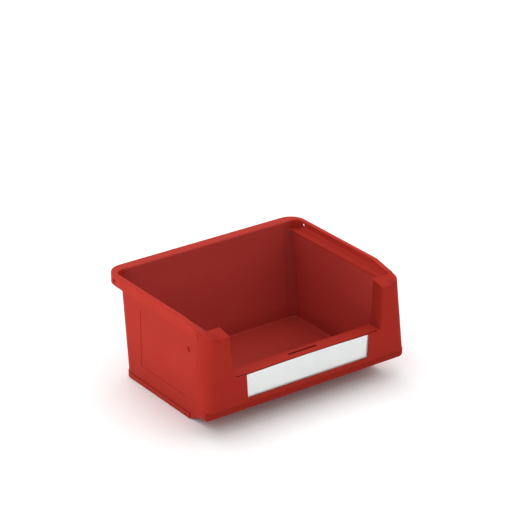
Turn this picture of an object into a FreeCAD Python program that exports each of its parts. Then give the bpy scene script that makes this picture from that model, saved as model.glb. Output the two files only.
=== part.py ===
import FreeCAD, Part
import math
import os
import Sketcher

# Small stackable open-front storage bin with a label card and its clear cover.
# Frame: millimetres, +Z up, front face towards -Y, +X to the right facing the front.
# Origin: centre of the footprint, on the base plane.

# Driving dimensions. "half" is half a width in X; "front", "back" and "from_front" are
# distances from the front face; "low", "high" and "under" are heights above the base.
DIMENSIONS = [
    # overall envelope
    ("overall_width", 104.4),        # across the two front posts, at their foot
    ("overall_length", 78.8),        # front face to the back of the rear rail
    ("overall_height", 48.0),        # base plane to the top of the rim
    # tub, outer side
    ("tub_half", 46.5),
    ("base_front", 20.7),
    ("base_back", 70.5),
    ("tub_back_high", 75.2),         # distance to the back wall, at the flange underside
    ("tub_front", 6.3),
    ("tub_ramp_high", 6.26),         # where the front ramp meets the front wall
    # cavity, inner side of the tub
    ("cavity_half", 44.1),
    ("floor_high", 2.6),             # upper side of the floor
    ("cavity_base_front", 19.7),     # start of the flat floor
    ("cavity_base_back", 68.7),      # end of the flat floor
    ("cavity_back_high", 73.4),      # distance to the back wall, above its leaning part
    ("cavity_lean_high", 38.0),      # upper end of the leaning part
    ("cavity_front", 8.3),           # face of the front wall
    ("cavity_ramp_high", 7.6),       # upper end of the ramp
    ("cut_high", 50.0),              # upper end of the cuts that are open at the top
    # stacking foot round the base, and the shallow recess inside it
    ("foot_half", 46.9),
    ("foot_front", 20.7),
    ("foot_back", 71.0),
    ("foot_high", 2.3),
    ("foot_recess_half", 42.5),
    ("foot_recess_front", 25.0),
    ("foot_recess_back", 66.5),
    ("foot_recess_deep", 0.7),
    # flange, rim and stacking ledge
    ("flange_under", 42.9),
    ("rim_half", 50.6),
    ("rim_front", 8.6),
    ("ledge_high", 44.0),
    ("rim_inner_half", 48.5),
    ("ledge_front", 8.3),
    ("slope_start", 20.5),           # distance to the upper end of the rim slope
    ("slope_low", 43.5),
    # channel under the rear rail
    ("channel_half", 41.0),
    ("channel_front", 75.35),
    ("channel_back", 76.95),
    ("channel_low", 41.0),
    ("channel_high", 46.2),
    # front frame: two posts and the label panel
    ("frame_head_half", 50.15),
    ("frame_back", 9.2),
    ("frame_lean", 1.4),             # set-back of the front face at the head
    ("frame_under", 11.8),
    ("post_rad_low", 4.4),
    ("post_rad_high", 6.2),
    # inset band under the frame
    ("band_half", 51.8),
    ("band_front", 2.0),
    ("band_back", 8.2),
    ("band_under", 7.75),
    # hollow behind the label panel and inside the posts
    ("hollow_half", 48.6),
    ("hollow_front", 3.9),
    ("hollow_back", 6.3),
    ("hollow_high", 41.5),
    ("hollow_post_inner", 41.2),     # centre plane to the inner side of a post's hollow
    ("core_front", 2.1),
    ("core_low", 13.6),
    ("core_outer", 47.6),            # centre plane to the outer side of a post's core
    # front opening and lip
    ("lip_high", 24.5),
    ("lip_under", 22.7),
    ("opening_low_half", 38.5),
    ("opening_high_half", 39.8),
    # label slot and window
    ("slot_half", 36.8),
    ("slot_front", 0.7),
    ("slot_back", 1.65),
    ("slot_low", 12.4),
    ("window_half", 31.8),           # at the lip
    ("window_low_half", 31.45),      # along the lower edge
    ("window_low", 13.5),
    # finger slot through the lip
    ("lip_slot_half", 7.3),
    ("lip_slot_front", 4.6),
    ("lip_slot_back", 5.9),
    # small holes through the side rims, and the reliefs round them
    ("rim_hole_rad", 0.92),
    ("rim_hole_from_front", 71.1),
    ("rim_hole_high", 45.15),
    ("rim_hole_wall", 0.9),          # rim wall left round the hole
    ("rim_relief_front", 68.3),
    ("rim_relief_back", 72.4),
    ("rim_relief_high", 46.7),
    # shallow plain panels on the side walls
    ("panel_front", 24.0),
    ("panel_back", 57.5),
    ("panel_low", 9.0),
    ("panel_high", 36.0),
    ("panel_deep", 0.18),
    # dimple on each side wall, near the post
    ("dimple_from_front", 20.6),
    ("dimple_high", 32.3),
    ("dimple_rad", 1.2),
    ("dimple_deep", 0.4),
    # label card and its clear cover
    ("card_half", 36.3),
    ("card_low", 12.5),
    ("card_high", 24.2),
    ("card_sag", 0.45),              # fall of the top edge from its middle to the corners
    ("card_corner", 4.2),            # size of the cut upper corners
    ("card_front", 1.02),
    ("card_thick", 0.25),
    ("cover_front", 0.76),
    ("cover_thick", 0.2),
    ("cover_half", 36.4),
    ("cover_high", 24.1),
    # fillet radii
    ("tub_corner_rad", 5.0),
    ("foot_corner_rad", 5.3),
    ("flange_root_rad", 1.7),
    ("band_end_rad", 1.7),
    ("cavity_corner_rad", 3.0),
    ("floor_edge_rad", 1.1),
    ("recess_corner_rad", 3.2),
    ("rim_corner_rad", 7.6),
]

# Cut upper corner of the card, from the side edge to the top edge:
# (distance in from the side, distance below the top), as parts of card_corner.
CARD_CORNER = [(0.0, 1.0), (0.12, 0.6), (0.45, 0.22), (1.1, 0.0)]

SIDES = (("left", -1.0), ("right", 1.0))


class Length:
    """A number together with the spreadsheet expression that drives it."""

    def __init__(self, value, text):
        self.value = value
        self.text = text

    def __add__(self, other):
        return Length(self.value + other.value, "%s + %s" % (self.text, other.text))

    def __rmul__(self, factor):
        return Length(factor * self.value, "(%r) * (%s)" % (factor, self.text))

    def __neg__(self):
        return -1.0 * self

    def __sub__(self, other):
        return self + -other


class Dimensions:
    """The driving dimensions, one Length attribute for each alias."""

    def __init__(self, sheet):
        for row, (name, value) in enumerate(DIMENSIONS, 1):
            cell = "B%d" % row
            sheet.set("A%d" % row, name)
            sheet.set(cell, repr(value))
            sheet.setAlias(cell, name)
            setattr(self, name, Length(value, "dims." + name))


doc = FreeCAD.newDocument("storage_bin")
dim = Dimensions(doc.addObject("Spreadsheet::Sheet", "dims"))
doc.recompute()

ZERO = Length(0.0, "0")
FRONT = -0.5 * dim.overall_length
BACK = 0.5 * dim.overall_length
AHEAD = -0.55 * dim.overall_length   # clear of the front face
ABOVE = 1.2 * dim.overall_height     # clear of the rim


def across(half):
    return -half, half


def from_front(start, end):
    return FRONT + start, FRONT + end


# --- sketches ----------------------------------------------------------------

def new_sketch(body, name, plane, at=None):
    """Empty sketch on an origin plane, moved to coordinate `at` on the axis across it."""
    sketch = body.newObject("Sketcher::SketchObject", name)
    support = [f for f in body.Origin.OriginFeatures if f.Role == plane][0]
    sketch.AttachmentSupport = [(support, "")]
    sketch.MapMode = "FlatFace"
    if at is not None:
        # the normal of the XZ plane points to -Y
        offset = -at if plane == "XZ_Plane" else at
        sketch.AttachmentOffset = FreeCAD.Placement(
            FreeCAD.Vector(0, 0, offset.value), FreeCAD.Rotation())
        sketch.setExpression("AttachmentOffset.Base.z", offset.text)
    return sketch


def bind(sketch, label, length, kind, *elements):
    """Add a constraint driven by a Length."""
    index = sketch.addConstraint(Sketcher.Constraint(kind, *elements, length.value))
    sketch.renameConstraint(index, label)
    sketch.setExpression("Constraints." + label, length.text)


def hold_point(sketch, number, line, end, point):
    """Fix one end of a line at a point; a zero coordinate puts it on the axis."""
    for kind, prefix, axis, length in (("DistanceX", "px", -2, point[0]),
                                       ("DistanceY", "py", -1, point[1])):
        if abs(length.value) < 1e-9:
            sketch.addConstraint(Sketcher.Constraint("PointOnObject", line, end, axis))
        else:
            bind(sketch, "%s%d" % (prefix, number), length, kind, -1, 1, line, end)


def add_line(sketch, start, end):
    sketch.addGeometry(Part.LineSegment(
        FreeCAD.Vector(start[0].value, start[1].value, 0),
        FreeCAD.Vector(end[0].value, end[1].value, 0)), False)


def polygon(body, name, plane, points, at=None):
    sketch = new_sketch(body, name, plane, at)
    count = len(points)
    for i in range(count):
        add_line(sketch, points[i], points[(i + 1) % count])
    for i in range(count):
        sketch.addConstraint(Sketcher.Constraint("Coincident", i, 2, (i + 1) % count, 1))
    for i, point in enumerate(points):
        hold_point(sketch, i, i, 1, point)
    return sketch


def rectangle(body, name, plane, first, second, at=None):
    """Rectangle between two (start, end) pairs along the sketch's axes."""
    points = [(first[0], second[0]), (first[1], second[0]),
              (first[1], second[1]), (first[0], second[1])]
    return polygon(body, name, plane, points, at)


def side_circle(body, name, y, z, radius, at):
    sketch = new_sketch(body, name, "YZ_Plane", at)
    sketch.addGeometry(Part.Circle(FreeCAD.Vector(y.value, z.value, 0),
                                   FreeCAD.Vector(0, 0, 1), radius.value), False)
    bind(sketch, "hole_y", y, "DistanceX", -1, 1, 0, 3)
    bind(sketch, "hole_z", z, "DistanceY", -1, 1, 0, 3)
    bind(sketch, "hole_r", radius, "Radius", 0)
    return sketch


def frame_outline(body, name, half, front, back, radius, at):
    """Rectangle with its two front corners rounded."""
    sketch = new_sketch(body, name, "XY_Plane", at)
    points = [(-half, back), (half, back), (half, front + radius),
              (half - radius, front), (radius - half, front), (-half, front + radius)]

    def add_corner(x, start_angle):
        centre = FreeCAD.Vector(x.value, (front + radius).value, 0)
        circle = Part.Circle(centre, FreeCAD.Vector(0, 0, 1), radius.value)
        arc = Part.ArcOfCircle(circle, start_angle, start_angle + 0.5 * math.pi)
        sketch.addGeometry(arc, False)

    add_line(sketch, points[0], points[1])
    add_line(sketch, points[1], points[2])
    add_corner(half - radius, 1.5 * math.pi)
    add_line(sketch, points[3], points[4])
    add_corner(radius - half, math.pi)
    add_line(sketch, points[5], points[0])

    # joints: element and end, next element and end (1 start, 2 end)
    for joint in ((0, 2, 1, 1), (1, 2, 2, 2), (2, 1, 3, 1),
                  (3, 2, 4, 2), (4, 1, 5, 1), (5, 2, 0, 1)):
        sketch.addConstraint(Sketcher.Constraint("Coincident", *joint))
    # line and end that carry each point
    carriers = [(0, 1), (0, 2), (1, 2), (3, 1), (3, 2), (5, 1)]
    for i, (line, end) in enumerate(carriers):
        hold_point(sketch, i, line, end, points[i])
    bind(sketch, "radius_right", radius, "Radius", 2)
    bind(sketch, "radius_left", radius, "Radius", 4)
    return sketch


# --- features ----------------------------------------------------------------

def extrude(body, kind, name, profile, length, symmetric, reverse):
    feature = body.newObject("PartDesign::" + kind, name)
    feature.Profile = profile
    feature.Length = length.value
    feature.setExpression("Length", length.text)
    if symmetric:
        feature.SideType = "Symmetric"
    feature.Reversed = reverse
    doc.recompute()


def pad(body, name, profile, length, symmetric=False, reverse=False):
    """Add material along the sketch normal, or against it if reversed."""
    extrude(body, "Pad", name, profile, length, symmetric, reverse)


def pocket(body, name, profile, length, symmetric=False, reverse=False):
    """Cut against the sketch normal, or along it if reversed."""
    before = body.Shape.Volume
    extrude(body, "Pocket", name, profile, length, symmetric, reverse)
    if not body.Shape.Volume < before - 0.01:
        raise RuntimeError("pocket %s removed nothing" % name)


def fillet(body, name, radius, least, test):
    """Round the edges that pass the test; there must be at least `least` of them."""
    edges = ["Edge%d" % i for i, edge in enumerate(body.Shape.Edges, 1) if test(edge)]
    if len(edges) < least:
        raise RuntimeError("fillet %s found %d edges" % (name, len(edges)))
    base = body.Tip
    feature = body.newObject("PartDesign::Fillet", name)
    feature.Base = (base, edges)
    feature.Radius = radius.value
    feature.setExpression("Radius", radius.text)
    doc.recompute()
    if feature.Shape.isNull() or "Invalid" in feature.State or "Error" in feature.State:
        raise RuntimeError("fillet %s failed" % name)


# Edge tests

def near(a, b, tolerance=0.05):
    return abs(a - b) < tolerance


def is_steep(edge):
    run = edge.Vertexes[-1].Point - edge.Vertexes[0].Point
    return run.Length > 1.0 and abs(run.z) / run.Length > 0.9


def is_level_at(edge, height):
    box = edge.BoundBox
    return near(box.ZMin, height.value, 0.02) and near(box.ZMax, height.value, 0.02)


def is_at_half(edge, half):
    return near(abs(edge.CenterOfMass.x), half.value)


def is_at_y(edge, y):
    return near(edge.CenterOfMass.y, y.value)


# --- bin: outer form ---------------------------------------------------------

def add_tub(body):
    """Tub with a leaning back wall and a ramp under the front."""
    pad(body, "tub", polygon(body, "tub_profile", "YZ_Plane", [
        (FRONT + dim.base_front, ZERO),
        (FRONT + dim.base_back, ZERO),
        (FRONT + dim.tub_back_high, dim.flange_under),
        (FRONT + dim.tub_front, dim.flange_under),
        (FRONT + dim.tub_front, dim.tub_ramp_high),
    ]), 2.0 * dim.tub_half, symmetric=True)
    back_limit = (FRONT + dim.base_back).value - 0.2
    fillet(body, "tub_back_corners", dim.tub_corner_rad, 2, lambda edge:
           is_steep(edge) and min(v.Point.y for v in edge.Vertexes) > back_limit)


def add_foot(body):
    """Low band round the base."""
    pad(body, "foot", rectangle(
        body, "foot_outline", "XY_Plane", across(dim.foot_half),
        from_front(dim.foot_front, dim.foot_back)), dim.foot_high)
    fillet(body, "foot_corners", dim.foot_corner_rad, 2, lambda edge:
           is_steep(edge) and is_at_half(edge, dim.foot_half)
           and edge.CenterOfMass.y > 0
           and edge.BoundBox.ZMax < dim.foot_high.value + 0.1)


def add_rim(body):
    """Flange and rim in one block, with a fillet where the tub meets the flange."""
    pad(body, "rim", rectangle(
        body, "rim_outline", "XY_Plane", across(dim.rim_half),
        (FRONT + dim.rim_front, BACK), at=dim.flange_under),
        dim.overall_height - dim.flange_under)

    def is_flange_root(edge):
        centre, box = edge.CenterOfMass, edge.BoundBox
        is_front_wall = abs(centre.x) < 1 and centre.y < 0
        return (is_level_at(edge, dim.flange_under)
                and box.YMin > (FRONT + dim.rim_front).value - 0.05
                and box.YMax < (FRONT + dim.tub_back_high).value + 0.05
                and abs(centre.x) < dim.tub_half.value + 0.05
                and not is_front_wall)

    fillet(body, "flange_root", dim.flange_root_rad, 3, is_flange_root)


def add_front_frame(body):
    """Inset band, and on it the frame, tapering inward and leaning back to its head."""
    pad(body, "band", rectangle(
        body, "band_outline", "XY_Plane", across(dim.band_half),
        from_front(dim.band_front, dim.band_back), at=dim.band_under),
        dim.frame_under - dim.band_under)
    fillet(body, "band_ends", dim.band_end_rad, 2, lambda edge:
           is_level_at(edge, dim.band_under) and is_at_half(edge, dim.band_half))

    back = FRONT + dim.frame_back
    foot = frame_outline(body, "frame_low_outline", 0.5 * dim.overall_width,
                         FRONT, back, dim.post_rad_low, dim.frame_under)
    head = frame_outline(body, "frame_high_outline", dim.frame_head_half,
                         FRONT + dim.frame_lean, back, dim.post_rad_high, dim.overall_height)
    frame = body.newObject("PartDesign::AdditiveLoft", "front_frame")
    frame.Profile = foot
    frame.Sections = [head]
    frame.Ruled = True
    doc.recompute()


def cut_front_slope(body):
    """Slope the rims and post tops down to the front."""
    slope_start = FRONT + dim.slope_start
    pocket(body, "front_slope", polygon(body, "front_slope_profile", "YZ_Plane", [
        (slope_start, dim.overall_height),
        (slope_start, ABOVE),
        (AHEAD, ABOVE),
        (AHEAD, dim.slope_low),
        (FRONT, dim.slope_low),
    ]), 2.0 * dim.overall_width, symmetric=True)


# --- bin: inner form ---------------------------------------------------------

def cut_cavity(body):
    """Cavity with a leaning back wall, upright above."""
    base_back = FRONT + dim.cavity_base_back
    back = FRONT + dim.cavity_back_high
    front = FRONT + dim.cavity_front
    pocket(body, "cavity", polygon(body, "cavity_profile", "YZ_Plane", [
        (FRONT + dim.cavity_base_front, dim.floor_high),
        (base_back, dim.floor_high),
        (back, dim.cavity_lean_high),
        (back, dim.cut_high),
        (front, dim.cut_high),
        (front, dim.cavity_ramp_high),
    ]), 2.0 * dim.cavity_half, symmetric=True)
    fillet(body, "cavity_back_corners", dim.cavity_corner_rad, 2, lambda edge:
           is_steep(edge) and is_at_half(edge, dim.cavity_half)
           and edge.CenterOfMass.y > base_back.value - 0.5)
    # side and back edges of the floor, not the foot of the ramp
    fillet(body, "cavity_floor_edges", dim.floor_edge_rad, 3, lambda edge:
           is_level_at(edge, dim.floor_high)
           and (abs(edge.CenterOfMass.x) > 30 or edge.CenterOfMass.y > 20))


def cut_stacking_recess(body):
    """Recess that leaves the side ledges and the rim standing."""
    back = FRONT + dim.cavity_back_high
    pocket(body, "stacking_recess", rectangle(
        body, "recess_outline", "XY_Plane", across(dim.rim_inner_half),
        (FRONT + dim.ledge_front, back), at=dim.ledge_high),
        dim.overall_height, reverse=True)
    fillet(body, "recess_back_corners", dim.recess_corner_rad, 2, lambda edge:
           is_steep(edge) and is_at_y(edge, back) and is_at_half(edge, dim.rim_inner_half))
    fillet(body, "rim_back_corners", dim.rim_corner_rad, 2, lambda edge:
           is_steep(edge) and is_at_y(edge, BACK) and is_at_half(edge, dim.rim_half))


# --- bin: front details ------------------------------------------------------

def cut_opening(body):
    """Front opening above the lip, widening upward."""
    pocket(body, "opening", polygon(body, "opening_profile", "XZ_Plane", [
        (-dim.opening_low_half, dim.lip_high),
        (dim.opening_low_half, dim.lip_high),
        (dim.opening_high_half, dim.cut_high),
        (-dim.opening_high_half, dim.cut_high),
    ], at=AHEAD), FRONT + dim.cavity_front - AHEAD)


def cut_front_hollow(body):
    """Hollow behind the label panel and up into the posts, open below."""
    below = -0.2 * dim.hollow_high
    inner = dim.hollow_post_inner
    pocket(body, "front_hollow", polygon(body, "front_hollow_profile", "XZ_Plane", [
        (-dim.hollow_half, below),
        (dim.hollow_half, below),
        (dim.hollow_half, dim.hollow_high),
        (inner, dim.hollow_high),
        (inner, dim.lip_under),
        (-inner, dim.lip_under),
        (-inner, dim.hollow_high),
        (-dim.hollow_half, dim.hollow_high),
    ], at=FRONT + dim.hollow_front), dim.hollow_back - dim.hollow_front)
    # a core in front of the hollow in each post, overlapping it slightly
    for side, sign in SIDES:
        pocket(body, "post_core_" + side, rectangle(
            body, "post_core_outline_" + side, "XZ_Plane",
            (sign * inner, sign * dim.core_outer), (dim.core_low, dim.hollow_high),
            at=FRONT + dim.core_front), dim.hollow_front - 0.9 * dim.core_front)


def cut_label_pocket(body):
    """Slot open at the lip, and a window in front of it."""
    pocket(body, "label_slot", rectangle(
        body, "label_slot_outline", "XY_Plane", across(dim.slot_half),
        from_front(dim.slot_front, dim.slot_back), at=dim.lip_high),
        dim.lip_high - dim.slot_low)
    above_lip = 1.05 * dim.lip_high
    slot_middle = FRONT + 0.5 * (dim.slot_front + dim.slot_back)
    pocket(body, "label_window", polygon(body, "label_window_outline", "XZ_Plane", [
        (-dim.window_low_half, dim.window_low),
        (dim.window_low_half, dim.window_low),
        (dim.window_half, dim.lip_high),
        (dim.window_half, above_lip),
        (-dim.window_half, above_lip),
        (-dim.window_half, dim.lip_high),
    ], at=AHEAD), slot_middle - AHEAD)


def cut_lip_slot(body):
    """Finger slot down through the lip, just into the hollow."""
    pocket(body, "lip_slot", rectangle(
        body, "lip_slot_outline", "XY_Plane", across(dim.lip_slot_half),
        from_front(dim.lip_slot_front, dim.lip_slot_back), at=dim.lip_high),
        dim.lip_high - 0.95 * dim.lip_under)


# --- bin: rear, base and side details ----------------------------------------

def cut_rear_channel(body):
    """Channel under the rear rail, open below."""
    pocket(body, "rear_channel", rectangle(
        body, "rear_channel_outline", "XY_Plane", across(dim.channel_half),
        from_front(dim.channel_front, dim.channel_back), at=dim.channel_low),
        dim.channel_high - dim.channel_low, reverse=True)


def cut_foot_recess(body):
    """Shallow recess under the base, inside the foot."""
    pocket(body, "foot_recess", rectangle(
        body, "foot_recess_outline", "XY_Plane", across(dim.foot_recess_half),
        from_front(dim.foot_recess_front, dim.foot_recess_back)),
        dim.foot_recess_deep, reverse=True)


def cut_rim_holes(body):
    """Small round hole through each side rim, the rim thinned round it inside."""
    rim_thick = dim.rim_half - dim.cavity_half
    for side, sign in SIDES:
        pocket(body, "rim_relief_" + side, rectangle(
            body, "rim_relief_outline_" + side, "YZ_Plane",
            from_front(dim.rim_relief_front, dim.rim_relief_back),
            (dim.ledge_high, dim.rim_relief_high),
            at=sign * (dim.rim_half - dim.rim_hole_wall)),
            rim_thick - dim.rim_hole_wall, reverse=(sign < 0))
        pocket(body, "rim_hole_" + side, side_circle(
            body, "rim_hole_outline_" + side, FRONT + dim.rim_hole_from_front,
            dim.rim_hole_high, dim.rim_hole_rad, at=sign * dim.rim_half),
            rim_thick, reverse=(sign < 0))


def cut_side_walls(body):
    """Shallow plain panel and small dimple in each side wall."""
    for side, sign in SIDES:
        wall = sign * dim.tub_half
        pocket(body, "panel_" + side, rectangle(
            body, "panel_outline_" + side, "YZ_Plane",
            from_front(dim.panel_front, dim.panel_back),
            (dim.panel_low, dim.panel_high), at=wall),
            dim.panel_deep, reverse=(sign < 0))
        pocket(body, "dimple_" + side, side_circle(
            body, "dimple_outline_" + side, FRONT + dim.dimple_from_front,
            dim.dimple_high, dim.dimple_rad, at=wall),
            dim.dimple_deep, reverse=(sign < 0))


# --- pieces ------------------------------------------------------------------

def new_body(name):
    body = doc.addObject("PartDesign::Body", name)
    body.Label = name
    return body


def build_bin():
    body = new_body("bin_body")
    # the edge tests of the fillets rely on this order
    for step in (add_tub, add_foot, add_rim, add_front_frame, cut_front_slope,
                 cut_cavity, cut_stacking_recess, cut_opening, cut_front_hollow,
                 cut_label_pocket, cut_lip_slot, cut_rear_channel, cut_foot_recess,
                 cut_rim_holes, cut_side_walls):
        step(body)
    return body


def build_card():
    """Label card: top edge gently bowed, upper corners cut."""
    body = new_body("label_card")
    corner_top = dim.card_high - dim.card_sag
    right = [(dim.card_half, dim.card_low)]
    for inset, drop in CARD_CORNER:
        right.append((dim.card_half - inset * dim.card_corner,
                      corner_top - drop * dim.card_corner))
    right.append((0.5 * dim.window_half, dim.card_high - 0.25 * dim.card_sag))
    left = [(-x, z) for x, z in reversed(right)]
    outline = polygon(body, "card_outline", "XZ_Plane",
                      right + [(ZERO, dim.card_high)] + left, at=FRONT + dim.card_front)
    pad(body, "card_sheet", outline, dim.card_thick, reverse=True)
    return body


def build_cover():
    """Clear cover: a thin upright sheet in front of the card."""
    body = new_body("label_cover")
    pad(body, "cover_sheet", rectangle(
        body, "cover_outline", "XY_Plane", across(dim.cover_half),
        from_front(dim.cover_front, dim.cover_front + dim.cover_thick), at=dim.card_low),
        dim.cover_high - dim.card_low)
    return body


pieces = [build_bin(), build_card(), build_cover()]
doc.recompute()

# --- checks and export -------------------------------------------------------
failed = [o.Name for o in doc.Objects if "Invalid" in o.State or "Error" in o.State]
if failed:
    raise RuntimeError("failed objects: " + ", ".join(failed))
for piece in pieces:
    shape = piece.Shape
    if shape.isNull() or not shape.isValid() or len(shape.Solids) != 1:
        raise RuntimeError("bad shape: %s (%d solids)" % (piece.Label, len(shape.Solids)))

os.makedirs("parts", exist_ok=True)
for piece in pieces:
    piece.Shape.exportStep("parts/%s.step" % piece.Label)
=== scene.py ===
"""Red moulded open-fronted bin with a paper label card under a clear cover.

The bin stands on z = 0. Its opening faces -Y, its back wall is at +Y, and it is
symmetric about x = 0. Lengths marked mm are multiplied by MM to give metres.
"""
import bpy
import bmesh
import math
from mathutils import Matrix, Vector


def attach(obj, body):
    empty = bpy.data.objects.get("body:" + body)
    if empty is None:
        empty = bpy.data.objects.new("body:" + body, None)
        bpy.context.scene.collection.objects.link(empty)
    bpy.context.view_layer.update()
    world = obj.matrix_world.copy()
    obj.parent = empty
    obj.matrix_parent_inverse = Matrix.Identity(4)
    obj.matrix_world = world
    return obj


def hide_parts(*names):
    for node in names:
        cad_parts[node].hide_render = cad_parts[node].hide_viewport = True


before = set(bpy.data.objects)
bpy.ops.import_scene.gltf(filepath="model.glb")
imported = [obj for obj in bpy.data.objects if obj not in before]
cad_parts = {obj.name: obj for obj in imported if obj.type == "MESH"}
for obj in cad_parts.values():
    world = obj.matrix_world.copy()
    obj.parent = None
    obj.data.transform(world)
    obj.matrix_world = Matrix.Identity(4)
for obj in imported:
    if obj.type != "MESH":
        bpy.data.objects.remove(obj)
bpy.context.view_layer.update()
scene = bpy.context.scene
MM = 0.001

# Bin outline, in mm
OUTER_X = 50.6         # outer side of the rim
OUTER_Y = 39.4         # back of the rim; the posts' front is at -OUTER_Y
OUTER_RADIUS = 7.6     # its back corners
INNER_X = 48.5         # inner side of the rim
INNER_BACK_Y = 34.0
INNER_RADIUS = 3.2
RIM_TOP_Z = 48.0
RIM_UNDER_Z = 42.9
POST_TOP_Z = 43.5      # top at the very front
TOP_SLOPE_RUN = 20.5   # depth over which the top climbs to RIM_TOP_Z
LEDGE_Z = 44.0
LEDGE_INNER_X = 44.1
LIP_Z = 24.5           # top of the front lip
LIP_INNER_Y = -31.1
JAMB_X = 38.5          # side of the opening, at the lip
JAMB_LEAN = 1.3        # how far it leans outward over JAMB_RISE
JAMB_RISE = 25.5

# Edge rounding
MERGE_DISTANCE = 0.004 * MM
SOFT_WIDTH = 2.0 * MM    # bevel width at weight 1
EDGE_WIDTH = 0.45 * MM   # all other sharp edges
MIN_STRAIGHT = 2.0       # mm, shortest edge that counts as straight
MIN_FOLD = math.radians(25)
NEAR, NEARER = 0.05, 0.04  # mm, how close a point must be to match
OVERLAP = 0.1              # mm, reach past a corner where regions meet


# ---------------------------------------------------------------- node helpers
class Graph:
    """Adds nodes to a node tree; inputs may be sockets to link or plain values."""

    def __init__(self, tree):
        self.tree = tree

    def add(self, kind, inputs, **properties):
        node = self.tree.nodes.new(kind)
        for name, value in properties.items():
            setattr(node, name, value)
        for key, value in inputs.items():
            if isinstance(value, bpy.types.NodeSocket):
                self.tree.links.new(value, node.inputs[key])
            else:
                node.inputs[key].default_value = value
        return node

    def position(self):
        return self.add("ShaderNodeTexCoord", {}).outputs["Object"]

    def stretch(self, vector, scale):
        return self.add("ShaderNodeMapping", {"Scale": scale, "Vector": vector}).outputs[0]

    def noise(self, vector, scale, detail=3.0, rough=0.5):
        return self.add("ShaderNodeTexNoise", {
            "Scale": scale, "Detail": detail, "Roughness": rough,
            "Vector": vector}).outputs["Fac"]

    def ramp(self, value, span, to=(0.0, 1.0)):
        """Map the span onto `to`, clamped at both ends."""
        return self.add("ShaderNodeMapRange", {
            "From Min": span[0], "From Max": span[1], "To Min": to[0], "To Max": to[1],
            "Value": value}).outputs["Result"]

    def place(self, value, mm, to=(0.0, 1.0)):
        """A ramp along a length, with its span in mm."""
        return self.ramp(value, (mm[0] * MM, mm[1] * MM), to)

    def mix(self, factor, first, second):
        return self.add("ShaderNodeMix", {0: factor, 6: first, 7: second},
                        data_type="RGBA").outputs[2]

    def calc(self, operation, first, second=0.0):
        return self.add("ShaderNodeMath", {0: first, 1: second},
                        operation=operation).outputs[0]

    def absolute(self, value):
        return self.calc("ABSOLUTE", value)

    def times(self, first, *others):
        for other in others:
            first = self.calc("MULTIPLY", first, other)
        return first

    def bump(self, height, strength, mm, **inputs):
        return self.add("ShaderNodeBump", {
            "Strength": strength, "Distance": mm * MM, "Height": height,
            **inputs}).outputs[0]

    def output(self, node):
        self.add("ShaderNodeOutputMaterial", {"Surface": node.outputs[0]})


def new_material(name):
    material = bpy.data.materials.new(name)
    material.use_nodes = True
    material.node_tree.nodes.clear()
    return material, Graph(material.node_tree)


# ---------------------------------------------------------------- red plastic
NOISE_MID = (0.3, 0.7)  # the range most noise values fall in

CLOUD_DARK = (0.358, 0.0232, 0.0148, 1)
CLOUD_LIGHT = (0.388, 0.0258, 0.0166, 1)
FLOW = (0.41, 0.0292, 0.0186, 1)
SPECKLE = (0.31, 0.0198, 0.0126, 1)
# painted light: paler outer walls near the top
OUTSIDE_PAINTED_LIGHT = (0.425, 0.0290, 0.0175, 1)
# painted shade: darker low outer walls and front frame
PAINTED_SHADE = (0.10, 0.010, 0.008, 1)
# painted shade: darker ledges, lip top and front floor
PAINTED_DULL_SHADE = (0.12, 0.012, 0.010, 1)
# painted shade: darker post faces beside the opening
POST_PAINTED_SHADE = (0.10, 0.011, 0.009, 1)
# painted shade in the inner back corners
CORNER_PAINTED_SHADE = (0.17, 0.017, 0.014, 1)
# paler inner colours: painted light and sheen inside, the floor less lifted than the walls
INSIDE_FLOOR = (0.365, 0.0315, 0.0235, 1)
INSIDE_WALL = (0.450, 0.0465, 0.0385, 1)
# painted light: paler band low on the inner rim side
RIM_INSIDE_PAINTED_LIGHT = (0.48, 0.036, 0.026, 1)
# painted light: paler patches on the inner rim near the back
RIM_PATCH_PAINTED_LIGHT = (0.62, 0.060, 0.045, 1)
# painted highlight on convex edges
EDGE_HIGHLIGHT = (0.50, 0.044, 0.030, 1)


def mottled_red(g, pos, cloud):
    """Cloudy variation, stretched flow marks and fine speckle."""
    flow = g.noise(g.stretch(pos, scale=(0.35, 1.0, 2.2)), scale=60.0, detail=2.0, rough=0.6)
    speckle = g.noise(pos, scale=1800.0, detail=2.0)
    base = g.mix(g.ramp(cloud, NOISE_MID), CLOUD_DARK, CLOUD_LIGHT)
    base = g.mix(g.ramp(flow, span=(0.35, 0.75), to=(0.0, 0.35)), base, FLOW)
    return g.mix(g.ramp(speckle, span=(0.45, 0.8), to=(0.0, 0.25)), base, SPECKLE)


def edge_highlight(g, pos, normal):
    """Mask for a painted highlight: a thin line on convex edges, broken up by noise."""
    rounded = g.add("ShaderNodeBevel", {"Radius": 0.55 * MM}, samples=6).outputs[0]
    dot = g.add("ShaderNodeVectorMath", {0: rounded, 1: normal}, operation="DOT_PRODUCT")
    edge = g.ramp(dot.outputs["Value"], span=(0.992, 0.90))
    breakup = g.ramp(g.noise(pos, scale=260.0, detail=4.0, rough=0.7),
                   span=(0.42, 0.68), to=(0.15, 1.0))
    occlusion = g.add("ShaderNodeAmbientOcclusion", {"Distance": 0.9 * MM},
                      samples=6, inside=True, only_local=True).outputs["AO"]
    return g.times(edge, breakup, g.ramp(occlusion, span=(0.93, 0.55)))


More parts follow.
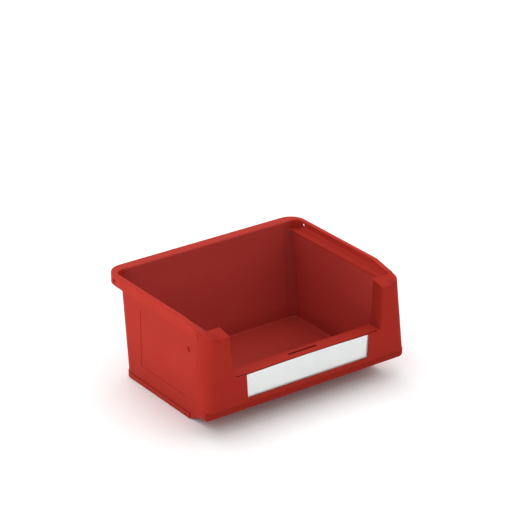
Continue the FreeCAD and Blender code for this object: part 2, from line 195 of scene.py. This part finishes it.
def outside_tones(g, base, x, y, z, wall, cloud):
    """Outer faces: painted light near the top, painted shade towards the bottom."""
    outside = g.calc("MAXIMUM", g.place(g.absolute(x), mm=(45.4, 46.2)),
                     g.place(y, mm=(-33.0, -34.0)))
    outside = g.calc("MAXIMUM", outside, g.place(g.calc("SUBTRACT", y, wall), mm=(0.6, 1.3)))
    # painted light on the upper outer walls
    upper_light = g.times(outside, g.place(z, mm=(33.0, 40.0), to=(0.0, 0.55)),
                   g.place(y, mm=(-29.0, -26.0)))
    base = g.mix(upper_light, base, OUTSIDE_PAINTED_LIGHT)
    # painted shade, darker towards the bottom of the outer walls
    low_shade = g.times(outside, g.place(z, mm=(19.0, 1.0)),
                    g.ramp(cloud, NOISE_MID, to=(0.24, 0.32)))
    return g.mix(low_shade, base, PAINTED_SHADE)


def inside_mask(g, x, y, z):
    walls = g.times(g.place(g.absolute(x), mm=(44.6, 44.3)),
                    g.times(g.place(y, mm=(-30.9, -30.2)), g.place(y, mm=(34.25, 34.05))))
    return g.times(walls, g.calc("MAXIMUM", g.place(z, mm=(43.6, 42.6)),
                                 g.place(g.absolute(x), mm=(43.9, 43.5))))


def inside_tones(g, base, x, y, z, wall, inside):
    """Inner faces: painted paler for light and sheen inside, with painted shade in the back
    corners and on the front floor.
    """
    gap = g.place(g.calc("SUBTRACT", wall, y), mm=(4.5, 1.0))
    corner = g.times(gap, g.place(g.absolute(x), mm=(39.6, 43.1)))
    # painted light and sheen on the inner faces, less on the floor
    pale = g.mix(g.place(z, mm=(3.0, 9.0)), INSIDE_FLOOR, INSIDE_WALL)
    pale_share, corner_shade_share = 0.85, 0.36
    base = g.mix(g.times(inside, pale_share), base, pale)
    # painted shade in the inner back corners
    base = g.mix(g.times(corner, inside, corner_shade_share), base, CORNER_PAINTED_SHADE)
    # painted shade on the front part of the inner floor
    front_floor_shade = g.times(inside, g.place(z, mm=(12.0, 8.0)),
                        g.place(y, mm=(24.0, 5.0), to=(0.0, 0.17)))
    return g.mix(front_floor_shade, base, PAINTED_DULL_SHADE)


def rim_tones(g, base, x, y, z):
    """Painted shade on the side ledges, painted light on a band low on the inner rim side and
    on patches near its back.
    """
    side = g.absolute(x)
    ledge_share, rim_share = 0.20, 0.75
    # painted shade on the side ledges
    ledge = g.times(
        g.times(g.place(side, mm=(44.1, 44.6)), g.place(side, mm=(48.3, 47.0))),
        g.times(g.place(z, mm=(44.9, 44.3)), g.place(z, mm=(42.9, 43.3))),
        g.place(y, mm=(33.9, 32.0)), ledge_share)
    base = g.mix(ledge, base, PAINTED_DULL_SHADE)
    # painted light on a band low on the inner rim side
    inner_rim_light = g.times(
        g.times(g.place(side, mm=(48.1, 48.4)), g.place(side, mm=(48.9, 48.6))),
        g.times(g.place(z, mm=(43.9, 44.6)), g.place(y, mm=(33.9, 31.0))), rim_share)
    base = g.mix(inner_rim_light, base, RIM_INSIDE_PAINTED_LIGHT)
    # painted light on patches of the inner rim near the back
    rim_patch_light = g.times(
        g.place(g.absolute(x), mm=(48.3, 48.5)),
        g.times(g.place(g.absolute(x), mm=(49.9, 49.8)),
                g.times(g.place(y, mm=(28.7, 28.9)), g.place(z, mm=(43.8, 44.0)))),
        g.times(g.place(z, mm=(46.9, 46.7)), g.place(y, mm=(33.2, 33.0))))
    return g.mix(rim_patch_light, base, RIM_PATCH_PAINTED_LIGHT)


def front_tones(g, base, x, y, z, normal, cloud):
    """Painted shade on the front frame, the lip top and the post faces beside the opening."""
    # painted shade on the front frame
    frame_shade = g.times(g.place(y, mm=(-28.5, -31.0)),
                         g.ramp(cloud, NOISE_MID, to=(0.10, 0.16)))
    base = g.mix(frame_shade, base, PAINTED_SHADE)
    # painted shade on the lip top
    lip = g.times(
        g.place(y, mm=(-38.4, -31.5), to=(0.0, 0.26)),
        g.times(g.place(z, mm=(25.2, 24.8)), g.place(y, mm=(-30.4, -30.8))),
        g.times(g.place(z, mm=(22.0, 23.5)), g.place(g.absolute(x), mm=(40.0, 38.9))))
    base = g.mix(lip, base, PAINTED_DULL_SHADE)
    normal_x = g.add("ShaderNodeSeparateXYZ", {0: normal}).outputs[0]
    facing = g.ramp(g.absolute(normal_x), span=(0.80, 0.96))
    near_post = g.times(g.place(y, mm=(-30.0, -32.0)), g.place(g.absolute(x), mm=(41.5, 41.0)))
    # painted shade on the post faces beside the opening
    post_face_shade = g.times(facing, near_post, g.place(y, mm=(-39.0, -35.5), to=(0.0, 0.30)))
    return g.mix(post_face_shade, base, POST_PAINTED_SHADE)


def red_plastic():
    material, g = new_material("moulded_red_pp")
    pos = g.position()
    x, y, z = g.add("ShaderNodeSeparateXYZ", {0: pos}).outputs
    normal = g.add("ShaderNodeNewGeometry", {}).outputs["Normal"]
    cloud = g.noise(pos, scale=45.0, rough=0.55)
    edge_highlight_mask = edge_highlight(g, pos, normal)
    # y of the leaning back wall's inner face at each height
    wall = g.place(z, mm=(2.6, 38.0), to=(29.3 * MM, 34.0 * MM))
    inside = inside_mask(g, x, y, z)

    base = mottled_red(g, pos, cloud)
    base = outside_tones(g, base, x, y, z, wall, cloud)
    base = inside_tones(g, base, x, y, z, wall, inside)
    base = rim_tones(g, base, x, y, z)
    base = front_tones(g, base, x, y, z, normal, cloud)
    # painted highlight along convex edges
    highlight_share, highlight_gloss = 0.60, 0.08
    base = g.mix(g.times(edge_highlight_mask, highlight_share), base, EDGE_HIGHLIGHT)

    # satin finish, a little glossier along the painted edge highlights
    roughness = g.ramp(g.noise(pos, scale=120.0, detail=4.0, rough=0.6),
                       NOISE_MID, to=(0.40, 0.52))
    roughness = g.calc("SUBTRACT", roughness, g.times(edge_highlight_mask, highlight_gloss))
    # more sheen inside, less on the front frame
    specular = g.calc("ADD", g.ramp(inside, span=(0.0, 1.0), to=(0.03, 0.12)),
                      g.place(y, mm=(-28.5, -31.0), to=(0.0, -0.018)))
    # fine mould texture under broad waviness
    texture = g.bump(g.noise(pos, scale=2600.0, detail=2.0, rough=0.6), strength=0.25, mm=0.04)
    surface = g.bump(g.noise(pos, scale=70.0, detail=2.0), strength=0.35, mm=0.25,
                     Normal=texture)
    g.output(g.add("ShaderNodeBsdfPrincipled", {
        "Base Color": base,
        "Roughness": roughness,
        "IOR": 1.49,
        "Specular IOR Level": specular,
        "Subsurface Weight": 0.06,
        "Subsurface Radius": (1.0, 0.12, 0.06),
        "Subsurface Scale": 0.9 * MM,
        "Normal": surface,
    }))
    return material


# ---------------------------------------------------------------- other materials
PAPER_DARK = (0.745, 0.77, 0.755, 1)
PAPER_LIGHT = (0.79, 0.815, 0.80, 1)
PAPER_CLOUD = (0.73, 0.755, 0.74, 1)
WHITE = (1, 1, 1, 1)
HAZE = (0.985, 0.99, 0.99, 1)


def card_paper():
    material, g = new_material("label_card_paper")
    pos = g.position()
    fibre = g.noise(g.stretch(pos, scale=(0.5, 1.0, 1.6)), scale=2200.0, detail=5.0, rough=0.7)
    cloud = g.noise(pos, scale=90.0)
    base = g.mix(g.ramp(fibre, span=(0.3, 0.75)), PAPER_DARK, PAPER_LIGHT)
    base = g.mix(g.ramp(cloud, span=(0.35, 0.7), to=(0.0, 0.3)), base, PAPER_CLOUD)
    g.output(g.add("ShaderNodeBsdfPrincipled", {
        "Base Color": base,
        "Roughness": g.ramp(fibre, span=(0.2, 0.8), to=(0.75, 0.92)),
        "Specular IOR Level": 0.2,
        "Normal": g.bump(fibre, strength=0.3, mm=0.02),
    }))
    return material


def clear_strip():
    """Straight-through clear film with a faint, slightly wavy gloss."""
    material, g = new_material("label_cover_clear")
    pos = g.position()
    haze = g.noise(pos, scale=160.0, detail=4.0, rough=0.6)
    clear = g.add("ShaderNodeBsdfTransparent", {
        "Color": g.mix(g.ramp(haze, span=(0.35, 0.7)), WHITE, HAZE)})
    gloss = g.add("ShaderNodeBsdfGlossy", {
        "Color": WHITE,
        "Roughness": g.ramp(haze, NOISE_MID, to=(0.06, 0.16)),
        "Normal": g.bump(g.noise(pos, scale=50.0, detail=2.0), strength=0.2, mm=0.05),
    })
    fresnel = g.add("ShaderNodeFresnel", {"IOR": 1.45}).outputs[0]
    gloss_share = 0.35
    g.output(g.add("ShaderNodeMixShader", {
        0: g.times(fresnel, gloss_share), 1: clear.outputs[0], 2: gloss.outputs[0]}))
    return material


def pale_floor():
    material, g = new_material("pale_floor")
    g.output(g.add("ShaderNodeBsdfPrincipled", {
        "Base Color": (0.93, 0.93, 0.93, 1),
        "Roughness": 0.9,
        "Specular IOR Level": 0.1,
    }))
    return material


# ---------------------------------------------------------------- bin shell
def near(value, target, slack=NEAR):
    return abs(value - target) < slack


def on_outline(p, half_x, back_y, radius):
    """On the sides, back or rounded back corners of a rim outline."""
    centre_x, centre_y = half_x - radius, back_y - radius
    past_x, past_y = abs(p.x) - centre_x, p.y - centre_y
    return (near(abs(p.x), half_x) and past_y < OVERLAP
            or near(p.y, back_y) and past_x < OVERLAP
            or past_x > -NEAR and past_y > -NEAR
            and near(math.hypot(past_x, past_y), radius, 0.06))


def on_rim_outer(p):
    return p.y > -30.0 and on_outline(p, OUTER_X, OUTER_Y, OUTER_RADIUS)


def on_rim_inner(p):
    return p.y > -30.9 and on_outline(p, INNER_X, INNER_BACK_Y, INNER_RADIUS)


def on_top(p):
    climb = (RIM_TOP_Z - POST_TOP_Z) * (p.y + OUTER_Y) / TOP_SLOPE_RUN
    return near(p.z, min(RIM_TOP_Z, POST_TOP_Z + climb), NEARER)


def on_jamb(p):
    jamb_x = JAMB_X + JAMB_LEAN * (p.z - LIP_Z) / JAMB_RISE
    return near(abs(p.x), jamb_x, NEARER) and p.z > LIP_Z - OVERLAP


# Both tables: a test that both ends must pass (in mm), share of SOFT_WIDTH
STRAIGHT_EDGES = (
    (lambda p: near(p.z, LEDGE_Z) and near(abs(p.x), INNER_X), 1.0),
    (lambda p: near(p.z, LEDGE_Z) and near(abs(p.x), LEDGE_INNER_X), 0.45),
    (lambda p: near(p.z, LIP_Z) and near(p.y, LIP_INNER_Y), 0.5),
)
FOLDED_EDGES = (
    (lambda p: on_top(p) and on_rim_outer(p), 0.24),
    (lambda p: on_top(p) and on_rim_inner(p), 0.25),
    (lambda p: near(p.z, RIM_UNDER_Z, NEARER) and on_rim_outer(p), 0.18),
    (lambda p: on_top(p) and abs(p.x) > JAMB_X - OVERLAP and p.y < -37.0, 0.32),
    (lambda p: on_top(p) and on_jamb(p), 0.22),
    (lambda p: on_jamb(p) and p.y < -37.5, 0.36),
    (lambda p: on_jamb(p) and near(p.y, LIP_INNER_Y), 0.20),
)


def soft_weight(edge):
    """Bevel weight of the first table entry the edge matches, or 0."""
    start, end = (vert.co / MM for vert in edge.verts)
    entries = ()
    if (start - end).length >= MIN_STRAIGHT:
        entries += STRAIGHT_EDGES
    if len(edge.link_faces) == 2 and edge.calc_face_angle(0.0) >= MIN_FOLD:
        entries += FOLDED_EDGES
    for test, weight in entries:
        if test(start) and test(end):
            return weight
    return 0.0


def clean_mesh(node, name):
    """Copy a CAD mesh with flat faces joined and soft edges weighted."""
    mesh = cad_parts[node].data.copy()
    mesh.name = name
    bm = bmesh.new()
    bm.from_mesh(mesh)
    bmesh.ops.remove_doubles(bm, verts=bm.verts, dist=MERGE_DISTANCE)
    bmesh.ops.dissolve_degenerate(bm, edges=bm.edges, dist=MERGE_DISTANCE)
    bmesh.ops.dissolve_limit(bm, angle_limit=math.radians(0.6), verts=bm.verts,
                             edges=bm.edges, use_dissolve_boundaries=False)
    bmesh.ops.recalc_face_normals(bm, faces=bm.faces)
    for face in bm.faces:
        face.smooth = True
    layer = bm.edges.layers.float.new("bevel_weight_edge")
    for edge in bm.edges:
        edge[layer] = soft_weight(edge)
    bm.to_mesh(mesh)
    bm.free()
    mesh.materials.clear()
    return mesh


def add_modifier(obj, name, kind, **settings):
    modifier = obj.modifiers.new(name, kind)
    for key, value in settings.items():
        setattr(modifier, key, value)


def build_shell(material):
    shell = bpy.data.objects.new("bin_shell", clean_mesh("bin_body", "bin_shell"))
    scene.collection.objects.link(shell)
    add_modifier(shell, "soft_edges", "BEVEL", width=SOFT_WIDTH, segments=5,
                 limit_method="WEIGHT", use_clamp_overlap=False)
    add_modifier(shell, "edges", "BEVEL", width=EDGE_WIDTH, segments=3,
                 limit_method="ANGLE", angle_limit=math.radians(28))
    # flat faces shade flat, rounds shade smooth
    add_modifier(shell, "normals", "WEIGHTED_NORMAL", mode="FACE_AREA_WITH_ANGLE",
                 weight=90, keep_sharp=True)
    shell.data.materials.append(material)
    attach(shell, "bin")
    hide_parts("bin_body")


build_shell(red_plastic())
for node_name, make_material in (("label_card", card_paper), ("label_cover", clear_strip)):
    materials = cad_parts[node_name].data.materials
    materials.clear()
    materials.append(make_material())


# ---------------------------------------------------------------- stage
def aim(obj, direction):
    """Point a light or camera along a direction."""
    obj.rotation_euler = direction.to_track_quat("-Z", "Y").to_euler()


def area_light(name, location, target, power, size, height=None):
    """Square light, or a rectangle if a height is given."""
    light = bpy.data.lights.new(name, "AREA")
    light.shape = "RECTANGLE" if height else "SQUARE"
    light.size = size
    if height:
        light.size_y = height
    light.energy = power
    obj = bpy.data.objects.new(name, light)
    scene.collection.objects.link(obj)
    obj.location = location
    aim(obj, Vector(target) - Vector(location))


def build_sky():
    """White dome, brighter overhead and towards the back right."""
    world = bpy.data.worlds.new("soft_sky")
    scene.world = world
    world.use_nodes = True
    g = Graph(world.node_tree)
    background = world.node_tree.nodes["Background"]
    background.inputs["Color"].default_value = WHITE
    direction = g.add("ShaderNodeTexCoord", {}).outputs["Generated"]
    axes = g.add("ShaderNodeSeparateXYZ", {0: direction}).outputs
    strength = 0.625  # at the horizon, before the slopes
    for axis, slope in (("Z", 0.78), ("X", 0.18), ("Y", 0.17)):
        strength = g.add("ShaderNodeMath", {0: axes[axis], 1: slope, 2: strength},
                         operation="MULTIPLY_ADD").outputs[0]
    world.node_tree.links.new(strength, background.inputs["Strength"])


def build_camera(target, azimuth, elevation, distance, lens):
    """Camera on a sphere round the target; azimuth 0 looks from -Y."""
    outward = Vector((math.sin(azimuth) * math.cos(elevation),
                      -math.cos(azimuth) * math.cos(elevation),
                      math.sin(elevation)))
    camera = bpy.data.cameras.new("camera")
    camera.lens = lens
    camera.sensor_width = 36.0
    camera.clip_start = 0.01
    obj = bpy.data.objects.new("camera", camera)
    scene.collection.objects.link(obj)
    obj.location = Vector(target) + outward * distance
    aim(obj, -outward)
    scene.camera = obj


bpy.ops.mesh.primitive_plane_add(size=6.0, location=(0, 0, -0.0002))
floor = bpy.context.object
floor.name = "floor"
floor.data.materials.append(pale_floor())

# a low strip on the left lights the outer side wall; a broad soft one overhead
area_light("low_left", location=(-0.50, 0.02, 0.024), target=(0, 0.02, 0.024),
           power=0.95, size=0.6, height=0.040)
area_light("overhead", location=(0.0, 0.45, 1.0), target=(0, 0, 0.02), power=2.2, size=0.9)
build_sky()
scene.view_settings.view_transform = "Standard"
scene.view_settings.look = "None"
build_camera(target=(0.0049, 0.0056, 0.05158), azimuth=math.radians(-35.8),
             elevation=math.radians(24.5), distance=0.966, lens=158.90625)
